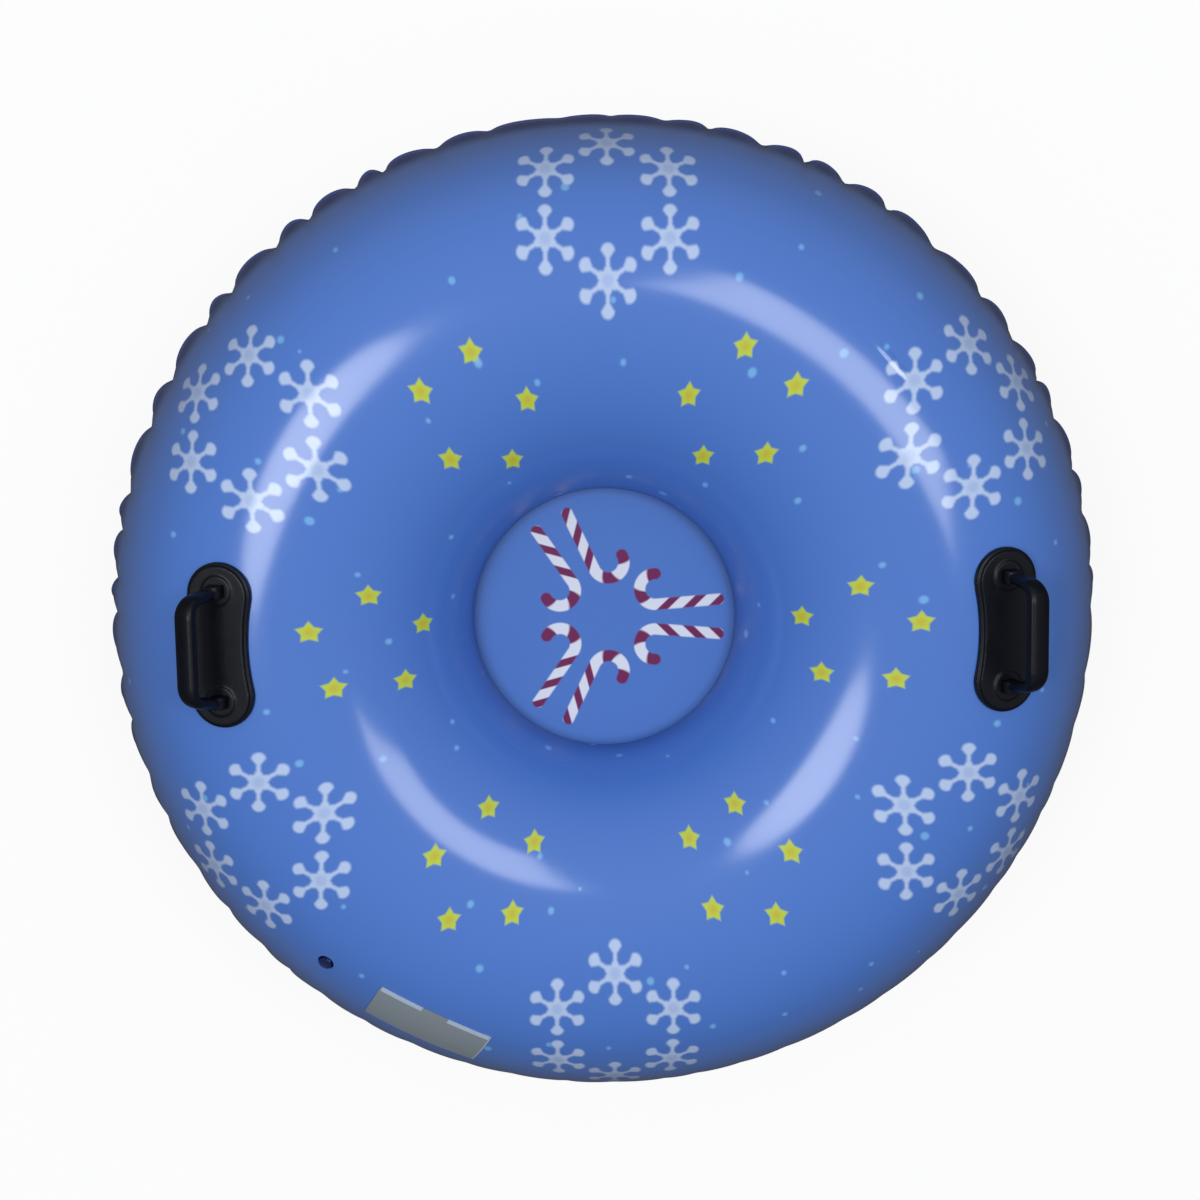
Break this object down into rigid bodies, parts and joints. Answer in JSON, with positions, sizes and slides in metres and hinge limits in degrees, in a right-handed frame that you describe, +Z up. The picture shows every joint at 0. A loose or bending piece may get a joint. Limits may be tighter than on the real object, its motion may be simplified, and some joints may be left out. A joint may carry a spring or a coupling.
{
  "type": "snow tube",
  "caption": "Round inflatable snow tube with a closed seat in its middle, a scalloped outer weld, moulded side handles and a push-in pinch valve.",
  "frame": {"origin": "middle of the ground circle that the tube rests on", "axes": "+Z up out of the seat; the handles stand near -X and +X; the blank patch and the valve are on the -Y side"},
  "size_m": [0.9625, 0.9625, 0.3172],
  "materials": {
    "printed_vinyl": "glossy printed vinyl",
    "plain_vinyl": "satin vinyl",
    "welded_vinyl": "pressed vinyl weld",
    "patch_vinyl": "satin grey vinyl",
    "moulded_black": "satin moulded rubber",
    "valve_vinyl": "soft moulded vinyl"
  },
  "bodies": {
    "tube": {"top_skin": "printed_vinyl", "bottom_skin": "plain_vinyl", "outer_weld": "welded_vinyl", "inner_weld": "welded_vinyl", "seat_top_sheet": "printed_vinyl", "seat_bottom_sheet": "plain_vinyl", "blank_patch": "patch_vinyl", "left_handle_base": "moulded_black", "right_handle_base": "moulded_black", "valve_flange": "valve_vinyl"},
    "left_loop": {"left_grip": "moulded_black"},
    "right_loop": {"right_grip": "moulded_black"},
    "stem": {"valve_stem": "valve_vinyl"},
    "lid": {"valve_lid": "valve_vinyl"},
    "flap": {"valve_flap": "valve_vinyl"}
  },
  "joints": [
    {"name": "left_grip_flex", "type": "hinge", "parent": "tube", "child": "left_loop", "pos_m": [-0.35252, 0, 0.28082], "axis": [0, -1, 0], "range_deg": [-84, 36], "stiffness_Nm_per_rad": 1},
    {"name": "right_grip_flex", "type": "hinge", "parent": "tube", "child": "right_loop", "pos_m": [0.36795, 0.00964, 0.27651], "axis": [-0.0262, 0.9997, 0], "range_deg": [-72, 48], "stiffness_Nm_per_rad": 1},
    {"name": "valve_push", "type": "slide", "parent": "tube", "child": "stem", "axis": [-0.3632, -0.4252, 0.829], "range_m": [0, 0.01]},
    {"name": "lid_hinge", "type": "hinge", "parent": "stem", "child": "lid", "pos_m": [-0.2643, -0.30945, 0.2479], "axis": [-0.7604, 0.6494, 0], "range_deg": [0, 130]},
    {"name": "flap_hinge", "type": "hinge", "parent": "stem", "child": "flap", "pos_m": [-0.26045, -0.30495, 0.23356], "axis": [0.7604, -0.6494, 0], "range_deg": [0, 40], "stiffness_Nm_per_rad": 0.0002}
  ]
}
